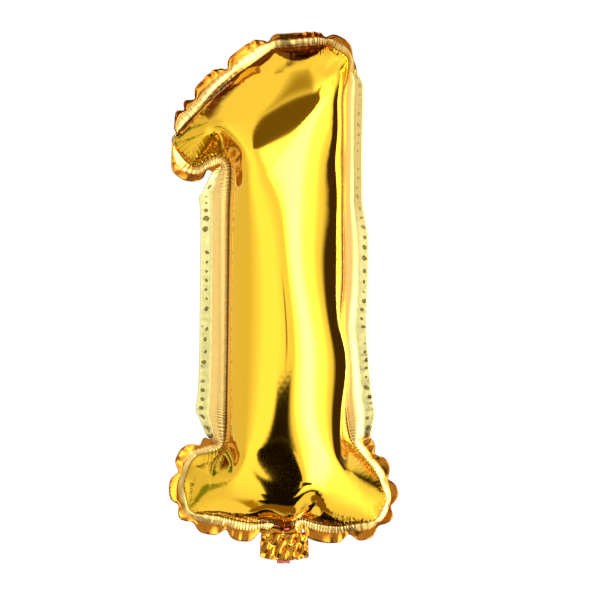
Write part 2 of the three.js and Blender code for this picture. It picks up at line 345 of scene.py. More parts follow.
# Where the gathered flange is pinched in, between its lobes: x, z on the seam.
PINCHES = [(14, 7), (44, 4), (66, 2), (73, 14), (72, 31), (58, 45),  # right foot
           (40, 301), (40, 315), (40, 333), (29, 345), (-9, 340), (-37, 322),  # top
           (-58, 299), (-68, 292), (-76, 286), (-80, 279), (-80, 265), (-61, 269),  # flag
           (-56, 43), (-73, 37), (-73, 14), (-65, 8), (-40, 5), (-17, 7)]  # left foot
PINCH_REACH = 3.6
PINCH_DEPTH = 0.58  # of the flange's width, at the cut edge
LOBE_LIFT = 2.6  # how far a lobe bows to the front between two pinches
LOBE_SWELL = 0.1  # and how much wider it is
LOBE_ROUND = 0.7  # below 1, a lobe is blunter than a sine

# Where fine creases fan into the face, bumped and darkened with painted crease shade: x, z on the seam,
# reach along it and depth.
FANS = [(-58, 268, 14, 1), (-47, 254, 13, 1), (-47, 52, 11, 1), (-40, 68, 8, 1), (49, 58, 13, 1),
        (57, 38, 9, 1), (-27, 5, 13, 1), (27, 5, 14, 1), (30, 344, 6, 1)]
# Dark reflections along the edge of the face, the same: a depth of 1 is SHADE_DEPTH.
SHADES = [(-2, 2, 11, 1.0), (9, 346, 15, 0.9), (-18, 337, 9, 0.45), (-46, 311, 15, 0.75), (-70, 290, 9, 0.5)]
SHADE_DEPTH = 16.0

GAP_SEALED = 0.1  # half the space between the two sheets, where they are welded
GAP_MARGIN = 0.45  # and at the cut edge
GAP_TAIL = 1.5  # and in the middle of the tail, a flat tube
TUBE_TOP = -20  # which starts at this z in the flat pattern
CRUMPLES = [(1.0, 0.25, 9.0), (-0.7, 0.7, 7.3), (0.35, 1.0, 8.1), (-0.95, 0.4, 5.2)]  # x, z, pitch
CRUMPLE_HEIGHT = 3.2


def nudged(points):
    """The settled points with the whole shape eased over a little, smoothly."""
    moved = points.copy()
    for x, z, right, up in NUDGES:
        near = np.exp(-((points[:, 0] - x) ** 2 + (points[:, 2] - z) ** 2) / (2 * NUDGE_REACH ** 2))
        moved[:, 0] += near * right
        moved[:, 2] += near * up
    stem = np.clip((points[:, 2] - CREST_RAMP[0]) / CREST_RAMP[1], CREST_LEAST, 1)
    moved[:, 0] -= CREST_SHIFT * stem * (points[:, 1] / CREST_HEIGHT) ** 2
    return moved


def panel_pairs(sheets):
    """The two ends of every edge of the panels, both ways round."""
    faces = np.array([face for face, region in zip(sheets["faces"], sheets["regions"])
                      if region in ("front", "back")])
    pairs = np.concatenate([faces[:, [0, 1]], faces[:, [1, 2]], faces[:, [2, 0]]])
    return np.concatenate([pairs, pairs[:, ::-1]])


def eased(points, pairs, weights, pull, passes):
    """The points drawn to the mean of their neighbours, by the share pull in each pass."""
    size = len(points)
    total = np.maximum(np.bincount(pairs[:, 0], weights=weights, minlength=size), 1e-6)
    moved = points.copy()
    for _ in range(passes):
        for axis in range(3):
            drawn = np.bincount(pairs[:, 0], weights=weights * moved[pairs[:, 1], axis], minlength=size)
            moved[:, axis] += (drawn / total - moved[:, axis]) * pull
    return moved


def relaxed(points, sheets):
    """The panels with their finest wrinkles smoothed out, most of all beside the neck."""
    pairs = panel_pairs(sheets)
    x, z, reach = RELAX_NECK
    away = np.hypot(points[:, 0] - x, points[:, 2] - z)
    pull = RELAX_SHARE + (RELAX_NEAR_NECK - RELAX_SHARE) * np.exp(-(away / reach) ** 2)
    pull[(sheets["share"] > 0) | (sheets["loop"] >= 0)] = 0
    return eased(points, pairs, np.ones(len(pairs)), pull, RELAX_PASSES)


def drawn_straight(points, sheets):
    """The stem with the wrinkles across it smoothed away: only neighbours above and below count."""
    pairs = panel_pairs(sheets)
    flat = sheets["flat"]
    step = flat[pairs[:, 1]] - flat[pairs[:, 0]]
    upright = (step[:, 1] ** 2 / (step ** 2).sum(axis=1)) ** 3
    top = np.interp(flat[:, 0], *zip(*STEM_TOPS))
    inside_stem = np.minimum(flat[:, 1] - STEM_BOTTOM, top - flat[:, 1]) / STEM_RAMP
    pull = STEM_SHARE * np.clip(inside_stem, 0, 1) * (sheets["share"] == 0)
    return eased(points, pairs, upright, pull, STEM_PASSES)


def tallness(seam):
    """1 beside the long straight sides of the stem, 0 elsewhere, for a loop of seam points."""
    tangent = np.roll(seam, -TALL_REACH, axis=0) - np.roll(seam, TALL_REACH, axis=0)
    upright = np.abs(tangent[:, 1]) / np.linalg.norm(tangent, axis=1)
    between = (seam[:, 1] > TALL_FROM) & (seam[:, 1] < TALL_TO)
    return smooth_loop(((upright > TALL_UPRIGHT) & between).astype(float)[:, None], 8)[:, 0]


def pinching(seam):
    """For each seam point, 0..1: how hard the flange is pinched, and how far up a lobe it is."""
    count = len(seam)
    order = np.arange(count)
    places = [np.hypot(seam[:, 0] - x, seam[:, 1] - z).argmin() for x, z in PINCHES]
    places = np.array(sorted(set(int(place) for place in places)))
    steps = np.abs(order[:, None] - places[None, :])
    away = np.minimum(steps, count - steps).min(axis=1) * SEAM_STEP
    after = np.searchsorted(places, order, side="right")
    before = places[after - 1] - np.where(after == 0, count, 0)
    after = np.append(places, places[0] + count)[after]
    lobe = np.sin(math.pi * (order - before) / (after - before)) ** LOBE_ROUND
    return np.exp(-(away / PINCH_REACH) ** 2), lobe


def along_edge(seam, places):
    """0..1 for each seam point: how near it is to one of the places."""
    strength = np.zeros(len(seam))
    for x, z, reach, depth in places:
        gap = np.hypot(seam[:, 0] - x, seam[:, 1] - z)
        strength = np.maximum(strength, depth * np.exp(-((gap - gap.min()) / reach) ** 2))
    return strength


def spread_flange(points, sheets, pattern):
    """Lays the flange out beside the seam, with pinches and lobes where it is gathered.

    Returns the points, and the materials' zones for each seam point."""
    count = pattern["count"]
    rows = np.zeros((pattern["loops"], count), int)
    on_loop = np.where(sheets["loop"] >= 0)[0]
    rows[sheets["loop"][on_loop], sheets["place"][on_loop]] = on_loop
    seam = points[rows[0]]
    calm, straight = smooth_loop(seam, CALM_PASSES), smooth_loop(seam, STRAIGHT_PASSES)
    tall = tallness(calm[:, [0, 2]])
    calm += (straight - calm) * tall[:, None]
    plan = calm[:, [0, 2]]
    pinch, lobe = pinching(plan)
    gather = 1 - tall
    tucked = np.clip((calm[:, 2] - TUCKED_ABOVE) / TUCK_RAMP, 0, 1) * (calm[:, 0] > 0)
    width = SHORT_WIDTH + (TALL_WIDTH - SHORT_WIDTH) * tall - TUCK * tucked
    out = flange_vectors(plan, width)
    foot = gather * (calm[:, 2] < FOOT_TOP)
    sideways = out[:, 0] ** 2 / (out ** 2).sum(axis=1) * foot
    out *= (1 - FOOT_TUCK * sideways)[:, None]
    swell = gather * (LOBE_SWELL * lobe - PINCH_DEPTH * pinch)
    neck = smooth_loop(pattern["hung"].astype(float)[:, None], 3)[:, 0]
    weight = np.maximum(SPREAD + (TALL_SPREAD - SPREAD) * tall, neck)
    lift = -LOBE_LIFT * gather * lobe
    shaped = points.copy()
    flat_rim = sheets["flat"][rows[-1]]
    for row, share in zip(rows[1:], FLANGE_SHARES):
        laid = seam * (1 - share) + calm * share
        reach = share ** (1 + BAND_NARROWING * foot) * (1 + swell * share ** 1.5)
        laid[:, 0] += out[:, 0] * reach
        laid[:, 2] += out[:, 1] * reach
        bow = BAND_BOW * math.sin(math.pi * min(share / SEALED_SHARE, 1))
        laid[:, 1] = seam[:, 1] * (1 - share) + lift * share ** 2 - bow
        hung = seam * (1 - share)
        hung[:, 0] += flat_rim[:, 0] * share
        hung[:, 2] += (flat_rim[:, 1] + TAIL_RISE) * share
        laid += (hung - laid) * neck[:, None]
        shaped[row] += (laid - points[row]) * weight[:, None]
    tail = sheets["share"] > 1
    flat = sheets["flat"][tail]
    shaped[tail] = np.stack([flat[:, 0], np.zeros(len(flat)), flat[:, 1] + TAIL_RISE], axis=1)
    # strip carries the painted reflection beside the stem, less where the flange curls back; fan and shade
    # carry painted crease shade and painted dark reflections.
    return shaped, {"strip": tall * (1 - TUCK_SHADE * tucked), "gather": gather * (1 - neck),
                    "fan": along_edge(plan, FANS), "shade": along_edge(plan, SHADES)}


def crumpled(points, sheets):
    """Creases the tail as handled foil creases: straight ridges in several directions."""
    flat = sheets["flat"]
    tail = np.clip(sheets["share"] - 1, 0, 1)
    height = np.zeros(len(points))
    for x, z, pitch in CRUMPLES:
        phase = (flat[:, 0] * x + flat[:, 1] * z) / pitch
        height += np.abs(phase % 1 - 0.5) - 0.25
    moved = points.copy()
    moved[:, 1] += CRUMPLE_HEIGHT * height * tail
    return moved


# ----- meshes -----
def seam_fields(sheets, pattern, zones):
    """For every vertex: distance along the seam, depth (inwards positive), and the seam's zones."""
    flat, count = sheets["flat"], pattern["count"]
    nearest = np.empty(len(flat), int)
    depth = np.empty(len(flat))
    for first in range(0, len(flat), 2000):
        part = flat[first:first + 2000]
        gaps = ((part[:, None, :] - pattern["seam"][None, :, :]) ** 2).sum(axis=2)
        nearest[first:first + 2000] = gaps.argmin(axis=1)
        depth[first:first + 2000] = np.sqrt(gaps.min(axis=1))
    on_loop = sheets["loop"] >= 0
    nearest[on_loop] = sheets["place"][on_loop]
    depth = np.where(sheets["share"] > 0, -FLANGE * np.minimum(sheets["share"], 1.3), depth)
    depth[sheets["loop"] == 0] = 0
    return {"along": nearest * SEAM_STEP, "depth": depth, "length": count * SEAM_STEP,
            **{zone: values[nearest] for zone, values in zones.items()}}


def flange_normals(points, sheets):
    """Unit normals of the flange and tail, towards the front."""
    normal = np.zeros_like(points)
    for face, region in zip(sheets["faces"], sheets["regions"]):
        if region in ("front", "back"):
            continue
        a, b, c = points[list(face)]
        cross = np.cross(b - a, c - a)
        for k in face:
            normal[k] += cross
    length = np.linalg.norm(normal, axis=1)
    return normal / np.where(length > 0, length, 1)[:, None]


def sheet_gap(sheets):
    """Half the space between the two sheets at each vertex of the flange and tail."""
    share, flat = sheets["share"], sheets["flat"]
    loose = np.clip((share - SEALED_SHARE) / (1 - SEALED_SHARE), 0, 1)
    gap = GAP_SEALED + (GAP_MARGIN - GAP_SEALED) * loose
    middle = np.clip(1 - ((flat[:, 0] - TAIL_MIDDLE) / (TAIL_WIDTH / 2)) ** 2, 0, 1)
    tube = (share > 0) & (np.abs(flat[:, 0] - TAIL_MIDDLE) < TAIL_WIDTH / 2) & (flat[:, 1] < TUBE_TOP)
    return np.where(tube, GAP_SEALED + GAP_TAIL * middle, gap)


UV_MAPS = {"seam": ("along", "depth"), "zone": ("gather", "strip"), "fold": ("fan", "shade")}


def make_mesh(name, points, faces, slots, fields, materials):
    """A mesh in the part frame, with the seam's coordinates and zones as UV maps, in mm."""
    used = sorted({k for face in faces for k in face})
    renumber = {k: n for n, k in enumerate(used)}
    mesh = new_mesh(name, points[used] * MM + np.array(ORIGIN),
                    [[renumber[k] for k in face] for face in faces])
    for material in materials:
        mesh.materials.append(material)
    mesh.polygons.foreach_set("material_index", slots)
    mesh.polygons.foreach_set("use_smooth", [True] * len(faces))
    corners = np.array(faces)
    along = fields["along"][corners]
    wraps = (along.max(axis=1) - along.min(axis=1)) > fields["length"] / 2
    along[wraps] += np.where(along[wraps] < fields["length"] / 2, fields["length"], 0)
    for map_name, (first, second) in UV_MAPS.items():
        layer = mesh.uv_layers.new(name=map_name)
        values = (along if first == "along" else fields[first][corners], fields[second][corners])
        layer.data.foreach_set("uv", np.stack(values, axis=-1).ravel())
    return mesh


def settled_mesh(mesh, *modifiers):
    """The mesh with modifiers applied: each is a type and its settings."""
    piece = placed("settling", mesh)
    for kind, settings in modifiers:
        modifier = piece.modifiers.new(kind, kind)
        for key, value in settings.items():
            setattr(modifier, key, value)
    result = bpy.data.meshes.new_from_object(
        piece.evaluated_get(bpy.context.evaluated_depsgraph_get()))
    bpy.data.objects.remove(piece)
    return result


SMOOTH_ONCE = ("SUBSURF", {"levels": 1, "render_levels": 1, "uv_smooth": "NONE"})


def film(thickness, offset):
    """A Solidify of that thickness in millimetres: offset -1 is inwards and 0 is both ways."""
    return ("SOLIDIFY", {"thickness": thickness * MM, "offset": offset})


def vertex_fields(mesh):
    """The UV maps read back for each vertex: along, depth, gather, strip."""
    corner = read(mesh.loops, "vertex_index", 1, int)
    fields = []
    for name in ("seam", "zone"):
        per_vertex = np.zeros((len(mesh.vertices), 2))
        per_vertex[corner] = read(mesh.uv_layers[name].data, "uv", 2).reshape(-1, 2)
        fields += [per_vertex[:, 0], per_vertex[:, 1]]
    return fields


# Waves of the gathered foil, each as its height and its pitch along the seam, in millimetres.
FACE_WAVE = (0.11, 5.6)
WELD_WAVE = (0.05, 4.4)
MARGIN_WAVE = (0.35, 8.3)
FACE_WAVE_REACH = 7.0  # how far into the face they die away
CALM_MARGIN = 0.2  # of the wave, where the margin isn't gathered
WANDER, WANDER_PITCH = 1.5, 37.0  # radians: it makes the pitch uneven


def crimp(mesh, sign):
    """Moves the sheet along its normals: wrinkles in from the seam, and a crimped weld."""
    along, depth, gather, _ = vertex_fields(mesh)
    turn = 2 * math.pi * along
    wander = WANDER * np.sin(turn / WANDER_PITCH)
    fan = np.exp(-np.maximum(depth, 0) / FACE_WAVE_REACH) * (depth > 0)
    fan *= FACE_WAVE[0] * gather * np.sin(turn / FACE_WAVE[1] + wander)
    sealed = (depth <= 0) & (depth > -FLANGE * SEALED_SHARE)
    weld = WELD_WAVE[0] * gather * np.sin(turn / WELD_WAVE[1] + wander) * sealed
    loose = np.clip((-depth / FLANGE - SEALED_SHARE) / (1 - SEALED_SHARE), 0, 1)
    margin = MARGIN_WAVE[0] * loose * (CALM_MARGIN + gather)
    margin *= np.sin(turn / MARGIN_WAVE[1] + 2 * wander)
    move = (fan + weld + margin) * sign * MM
    points, normals = read(mesh.vertices, "co", 3), read(mesh.vertices, "normal", 3)
    mesh.vertices.foreach_set("co", points + normals * np.repeat(move, 3))
    mesh.update()


def add_piece(name, mesh):
    mesh.name = name
    piece = placed(name, mesh)
    return piece


# ----- materials -----
GOLD = (1.0, 0.6, 0.042)
WELD_GOLD = (0.74, 0.52, 0.18)
WELD_SHADE = (0.6, 0.36, 0.08)
# Paler than GOLD: a painted reflection of the bright room on the margin beside the stem.
REFLECTION_STRIP_GOLD = (0.78, 0.7, 0.28)
DOT_BROWN = (0.16, 0.09, 0.01)
# Darker and browner than GOLD: painted shade and inter-reflection in the gathered lobes and on the weld's
# outer edge.
SHADED_LOBE_GOLD = (0.33, 0.12, 0.011)
# Painted shade in creases and along the seam, on the face and the weld.
CREASE_SHADE = (0.1, 0.035, 0.0)
SHADE_RED = (0.13, 0.018, 0.002)
# Darker than GOLD: painted shade for the crumpled tail.
SHADED_TAIL_GOLD = (0.42, 0.175, 0.016)
PRINT_RED = (0.62, 0.04, 0.03)
PRINT_PINK = (0.95, 0.22, 0.15)
FILM_PINK = (0.8, 0.16, 0.12)
# Pitches along the seam and reaches away from it, in millimetres.
WRINKLE_PITCH, WRINKLE_REACH = 3.1, 5.0  # of the face, where it is gathered
FINE_PITCH, FINE_REACH = 1.9, 1.6
FAN_PITCH, FAN_REACH = 2.7, 7.0  # the creases that fan in, bumped and darkened with painted shade, and on the weld
WELD_FAN_REACH = 5.0
SEAM_SHADE_REACH = 1.8  # the painted crease shadow: a brown line where the face meets the weld
RUNG_PITCH = 2.1  # the ladder of crimps across the weld
DOT_PITCH = 7.2  # the dots on the pale strip
DOT_ROW = 0.8  # of the flange's width from the seam
STRAY_ALONG, STRAY_ACROSS = 16.0, 9.0  # how far a dot strays


class Graph:
    """A material's nodes, added and joined in one call. A tuple is a color."""

    def __init__(self, name):
        self.material = bpy.data.materials.new(name)
        self.material.use_nodes = True
        self.tree = self.material.node_tree
        self.shader = self.tree.nodes["Principled BSDF"]

    def add(self, kind, settings=None, **inputs):
        node = self.tree.nodes.new(kind)
        for key, value in (settings or {}).items():
            setattr(node, key, value)
        for key, value in inputs.items():
            self.set(node, key, value)
        return node

    def set(self, node, key, value):
        socket = node.inputs[int(key[1:])] if key[0] == "i" and key[1:].isdigit() else node.inputs[key]
        if isinstance(value, bpy.types.NodeSocket):
            self.tree.links.new(value, socket)
        elif isinstance(value, tuple):
            socket.default_value = (*value, 1)
        else:
            socket.default_value = value

    def math(self, operation, a, b=0.0):
        return self.add("ShaderNodeMath", {"operation": operation}, i0=a, i1=b).outputs[0]

    def times(self, a, b):
        return self.math("MULTIPLY", a, b)

    def fade(self, distance, reach):
        return self.math("EXPONENT", self.math("DIVIDE", distance, -reach))

    def square(self, value):
        return self.math("POWER", value, 2.0)

    def uv(self, name):
        mapped = self.add("ShaderNodeUVMap", {"uv_map": name}).outputs[0]
        parts = self.add("ShaderNodeSeparateXYZ", None, i0=mapped).outputs
        return parts[0], parts[1]

    def noise(self, scale, detail=2.0, rough=0.5):
        place = self.add("ShaderNodeTexCoord").outputs["Object"]
        return self.add("ShaderNodeTexNoise", None, Vector=place, Scale=scale, Detail=detail,
                        Roughness=rough).outputs[0]

    def bump(self, height, distance, strength=1.0, normal=None):
        node = self.add("ShaderNodeBump", None, Height=height, Distance=distance, Strength=strength)
        if normal is not None:
            self.set(node, "Normal", normal)
        return node.outputs[0]

    def mix(self, share, a, b):
        return self.add("ShaderNodeMix", {"data_type": "RGBA"}, i0=share, i6=a, i7=b).outputs[2]

    def wave(self, along, pitch, wander):
        """-1..1 along the seam with that pitch, its phase shifted by wander."""
        turns = self.times(along, 2 * math.pi / pitch)
        return self.math("SINE", self.math("ADD", turns, wander))

    def finish(self, color, roughness, metallic=1.0, normal=None):
        looks = {"Base Color": color, "Roughness": roughness, "Metallic": metallic, "Normal": normal}
        for key, value in looks.items():
            if value is not None:
                self.set(self.shader, key, value)
        return self.material


def face_foil():
    """Mirror gold film, with wrinkles that fan in from the gathered seam, painted crease shade in them and
    along the seam, and painted dark reflections along its edge.
    """
    graph = Graph("mirror gold film")
    along, depth = graph.uv("seam")
    gather, _ = graph.uv("zone")
    wander = graph.times(graph.noise(60.0), 3.0)
    fade = graph.fade(graph.math("ABSOLUTE", depth), WRINKLE_REACH)
    height = graph.times(graph.times(graph.wave(along, WRINKLE_PITCH, wander), fade), gather)
    edge = graph.fade(graph.math("ABSOLUTE", depth), FINE_REACH)
    fine = graph.times(graph.wave(along, FINE_PITCH, wander), edge)
    height = graph.math("ADD", height, graph.times(fine, 0.6))
    normal = graph.bump(height, 0.06 * MM)
    fanned, shaded = graph.uv("fold")
    ridge = graph.math("ADD", graph.times(graph.wave(along, FAN_PITCH, wander), 0.5), 0.5)
    ridge = graph.math("POWER", ridge, 3.0)
    reach = graph.times(graph.fade(depth, FAN_REACH), fanned)
    streak = graph.math("MINIMUM", graph.times(ridge, graph.times(reach, 1.5)), 1.0)
    normal = graph.bump(streak, 0.12 * MM, 1.0, normal)
    # Painted crease shade: dark streaks along the fanning creases, and a brown line where the face meets the
    # weld.
    seam_shade = graph.times(graph.fade(depth, SEAM_SHADE_REACH), 0.75)
    dark = graph.math("MAXIMUM", graph.times(streak, 0.8), seam_shade)
    color = graph.mix(dark, GOLD, CREASE_SHADE)
    within = graph.math("SUBTRACT", graph.times(shaded, SHADE_DEPTH), depth)
    within = graph.math("MINIMUM", graph.math("MAXIMUM", within, 0.0), 0.94)
    color = graph.mix(within, color, SHADE_RED)
    rough = graph.math("ADD", graph.times(graph.noise(700.0), 0.03), 0.055)
    return graph.finish(color, rough, normal=normal)


def weld_foil():
    """The heat-sealed band: duller, paler, with a fine ladder of crimps across it, and painted shade: a
    brown line along the seam, dark strokes where it is gathered, and a dark line at its outer edge.
    """
    graph = Graph("sealed gold foil")
    along, depth = graph.uv("seam")
    wander = graph.times(graph.noise(120.0), 6.0)
    gather, _ = graph.uv("zone")
    fanned, _ = graph.uv("fold")
    rungs = graph.times(graph.wave(along, RUNG_PITCH, wander), fanned)
    grain = graph.times(graph.noise(900.0, 3.0), 0.5)
    normal = graph.bump(graph.math("ADD", rungs, grain), 0.07 * MM)
    dark = graph.math("SMOOTH_MAX", graph.noise(160.0, 3.0), 0.35)
    color = graph.mix(graph.times(dark, 0.6), WELD_GOLD, WELD_SHADE)
    # Painted crease shadow: a brown line along the seam.
    color = graph.mix(graph.fade(graph.square(depth), 3.2), color, CREASE_SHADE)
    # Painted shade: dark strokes where the gathered weld fans into creases.
    stroke = graph.square(graph.math("MAXIMUM", graph.wave(along, FAN_PITCH, wander), 0.0))
    reach = graph.times(graph.fade(depth, -WELD_FAN_REACH), fanned)
    stroke = graph.math("MINIMUM", graph.times(stroke, reach), 0.85)
    color = graph.mix(stroke, color, CREASE_SHADE)
    # Painted shade: a dark orange-brown line at the weld's outer edge where it is gathered.
    outer = graph.square(graph.math("ADD", depth, FLANGE * SEALED_SHARE))
    outer = graph.times(graph.fade(outer, 2.5), gather)
    color = graph.mix(graph.times(outer, 0.8), color, SHADED_LOBE_GOLD)
    return graph.finish(color, 0.30, normal=normal)


def margin_foil():
    """The loose margin: gold lobes where it is gathered, darkened with painted shade; beside the stem a pale
    strip with dots, paled as a painted reflection.
    """
    graph = Graph("loose gold margin")
    along, depth = graph.uv("seam")
    _, tall = graph.uv("zone")
    row = graph.math("ADD", depth, FLANGE * DOT_ROW)
    strayed = graph.math("ADD", along, graph.times(graph.noise(22.0), STRAY_ALONG))
    column = graph.math("SUBTRACT", graph.math("FRACT", graph.math("DIVIDE", strayed, DOT_PITCH)), 0.5)
    column = graph.times(column, DOT_PITCH)
    wobble = graph.math("SUBTRACT", graph.times(graph.noise(60.0), STRAY_ACROSS), STRAY_ACROSS / 2)
    row = graph.math("ADD", row, wobble)
    apart = graph.math("ADD", graph.square(row), graph.square(column))
    size = graph.math("SUBTRACT", graph.times(graph.noise(80.0), 14.0), 5.0)
    dot = graph.times(graph.math("LESS_THAN", apart, size), tall)
    # Painted light: shaded gold on the gathered lobes, and the pale gold of a painted reflection on the
    # strip beside the stem.
    pale = graph.mix(tall, SHADED_LOBE_GOLD, REFLECTION_STRIP_GOLD)
    color = graph.mix(graph.times(dot, 0.85), pale, DOT_BROWN)
    normal = graph.bump(graph.noise(120.0, 1.0), 0.7 * MM, 0.5)
    return graph.finish(color, 0.2, normal=normal)


def tail_foil():
    """Handled foil: mirror gold with small sharp creases, its gold darkened with painted shade."""
    graph = Graph("crumpled gold film")
    place = graph.add("ShaderNodeTexCoord").outputs["Object"]
    cells = graph.add("ShaderNodeTexVoronoi", {"feature": "DISTANCE_TO_EDGE"}, Vector=place, Scale=170.0)
    normal = graph.bump(cells.outputs[0], 0.5 * MM, 0.7)
    normal = graph.bump(graph.noise(160.0, 2.0), 1.2 * MM, 0.7, normal)
    return graph.finish(SHADED_TAIL_GOLD, 0.14, normal=normal)


def clear_film(name, color):
    """Clear polythene, as the valve is."""
    graph = Graph(name)
    graph.set(graph.shader, "Transmission Weight", 0.55)
    graph.set(graph.shader, "IOR", 1.5)
    return graph.finish(color, 0.18, metallic=0.0, normal=graph.bump(graph.noise(400.0), 0.3 * MM))


def red_print():
    graph = Graph("red release print")
    tint = graph.mix(graph.noise(500.0), PRINT_RED, PRINT_PINK)
    return graph.finish(tint, 0.4, metallic=0.0)


# ----- the pieces -----
SHEET_THICKNESS = 0.06
BOND_THICKNESS = 0.08
FILM_THICKNESS, PRINT_THICKNESS = 0.03, 0.02
VALVE_TOP, VALVE_TIP = 44.0, -29.0
VALVE_WIDTH, VALVE_TIP_WIDTH = 20.0, 9.5
VALVE_X = -1.0
CHANNEL_TOP = -11.0  # in the flat pattern: below this the foil lies against the valve
NECK_TOP = 12  # below this the valve is as narrow as its tip,
WIDENING = 12.0  # and this much higher it is full width
FLAT_FROM, FLAT_RAMP = 9.0, 14.0  # z where it leaves the foil's middle, and how much higher it is flat
VALVE_GAP = 0.045
PRINT_TOP, PRINT_WIDTH = 30.0, 7.5
PRINT_SHORT = 0.4  # how far the print stops before the valve's tip
STRIP_ROWS, STRIP_COLUMNS = 60, 8
SURFACES = {"front": 0, "back": 0, "seal": 1, "margin": 2, "tail": 0}


def part_faces(sheets, pattern, part):
    """Faces of the front or back sheet, split into the body and the neck and tail."""
    in_neck = np.zeros(len(sheets["flat"]), bool)
    on_loop = sheets["loop"] >= 0
    in_neck[on_loop] = pattern["hung"][sheets["place"][on_loop]]
    in_neck |= sheets["share"] > 1
    dome, tail = [], []
    for face, region in zip(sheets["faces"], sheets["regions"]):
        if region in ("front", "back"):
            if region == part:
                dome.append((face, SURFACES[region]))
        elif all(in_neck[k] for k in face):
            tail.append((face, 0))
        else:
            dome.append((face, SURFACES[region]))
    if part == "back":
        dome = [(face, slot) if slot == 0 else (tuple(reversed(face)), slot) for face, slot in dome]
        tail = [(tuple(reversed(face)), slot) for face, slot in tail]
    return dome, tail


def sheet_points(points, sheets, normals, side):
    """The points of one sheet: the flange and tail stand off the middle by the gap."""
    offset = sheet_gap(sheets) * (sheets["share"] > 0) + GAP_SEALED * (sheets["loop"] == 0)
    return points + normals * (offset * side)[:, None]


def foil_pieces(points, sheets, pattern, fields, looks):
    """The front and back sheets and their parts of the tail."""
    normals = flange_normals(points, sheets)
    made = {}
    for part, side in (("front", 1.0), ("back", -1.0)):
        sheet = sheet_points(points, sheets, normals, side)
        dome, tail = part_faces(sheets, pattern, part)
        for name, faces in ((part + "_foil", dome), ("tail_" + part + "_foil", tail)):
            materials = looks["body"] if name == part + "_foil" else looks["tail"]
            mesh = make_mesh(name, sheet, [face for face, _ in faces], [slot for _, slot in faces],
                             fields, materials)
            mesh = settled_mesh(mesh, SMOOTH_ONCE)
            crimp(mesh, side)
            mesh = settled_mesh(mesh, film(SHEET_THICKNESS, -1.0))
            made[name] = add_piece(name, mesh)
    return made


def bond_piece(points, sheets, pattern, fields, looks):
    """The weld between the two sheets, from the seam to the loose margin."""
    faces = [face for face, region in zip(sheets["faces"], sheets["regions"]) if region == "seal"]
    mesh = make_mesh("weld_bond", points, faces, [0] * len(faces), fields, [looks["weld"]])
    mesh = settled_mesh(mesh, SMOOTH_ONCE)
    crimp(mesh, 1.0)
    mesh = settled_mesh(mesh, film(BOND_THICKNESS, 0.0))
    return add_piece("weld_bond", mesh)


def neck_middle(points, sheets):
    """A function of x and z in the neck and tail: how far the foil's middle surface is off y = 0."""
    near = (sheets["share"] > 0) & (np.abs(sheets["flat"][:, 0] - VALVE_X) < VALVE_WIDTH)
    near &= sheets["flat"][:, 1] < CHANNEL_TOP
    known = points[near]

    def middle(x, z):
        gap = (known[:, 0] - x) ** 2 + (known[:, 2] - z) ** 2 + 0.05
        closest = np.argsort(gap)[:4]
        return float((known[closest, 1] / gap[closest]).sum() / (1 / gap[closest]).sum())
    return middle


def strip(name, middle, width_at, top, tip, side, thickness, material):
    """A strip down the valve channel, closed into a solid."""
    rows, columns = STRIP_ROWS, STRIP_COLUMNS
    points, faces = [], []
    for z in np.linspace(top, tip, rows):
        inside_body = min(max((z - FLAT_FROM) / FLAT_RAMP, 0), 1)
        for t in np.linspace(-0.5, 0.5, columns):
            x = VALVE_X + t * width_at(z)
            points.append((x, middle(x, z) * (1 - inside_body) + side, z))
    for r in range(rows - 1):
        for c in range(columns - 1):
            k = r * columns + c
            faces.append((k, k + columns, k + columns + 1, k + 1))
    mesh = new_mesh(name, np.array(points) * MM + np.array(ORIGIN), faces)
    mesh.polygons.foreach_set("use_smooth", [True] * len(faces))
    mesh.materials.append(material)
    return settled_mesh(mesh, film(thickness, 0.0))


def valve_width(z):
    """20 mm in the body, narrowing through the neck to the tip that shows at the mouth."""
    share = min(max((z - NECK_TOP) / WIDENING, 0), 1)
    return VALVE_TIP_WIDTH + (VALVE_WIDTH - VALVE_TIP_WIDTH) * share


def valve_pieces(points, sheets, looks):
    middle = neck_middle(points, sheets)
    made = {}
    for part, side in (("front", -VALVE_GAP), ("back", VALVE_GAP)):
        name = "valve_" + part + "_strip"
        mesh = strip(name, middle, valve_width, VALVE_TOP, VALVE_TIP, side, FILM_THICKNESS, looks["film"])
        made[name] = add_piece(name, mesh)
    mesh = strip("release_print", middle, lambda z: PRINT_WIDTH, PRINT_TOP, VALVE_TIP + PRINT_SHORT, 0.0,
                 PRINT_THICKNESS, looks["print"])
    made["release_print"] = add_piece("release_print", mesh)
    return made


# ----- the room that the foil mirrors -----
ROOM = 3.0
FLOOR_Z = -0.205
FLOOR_SPAN = 12.0
CARD_CELLS = 24
WOOD = (0.4, 0.25, 0.1)
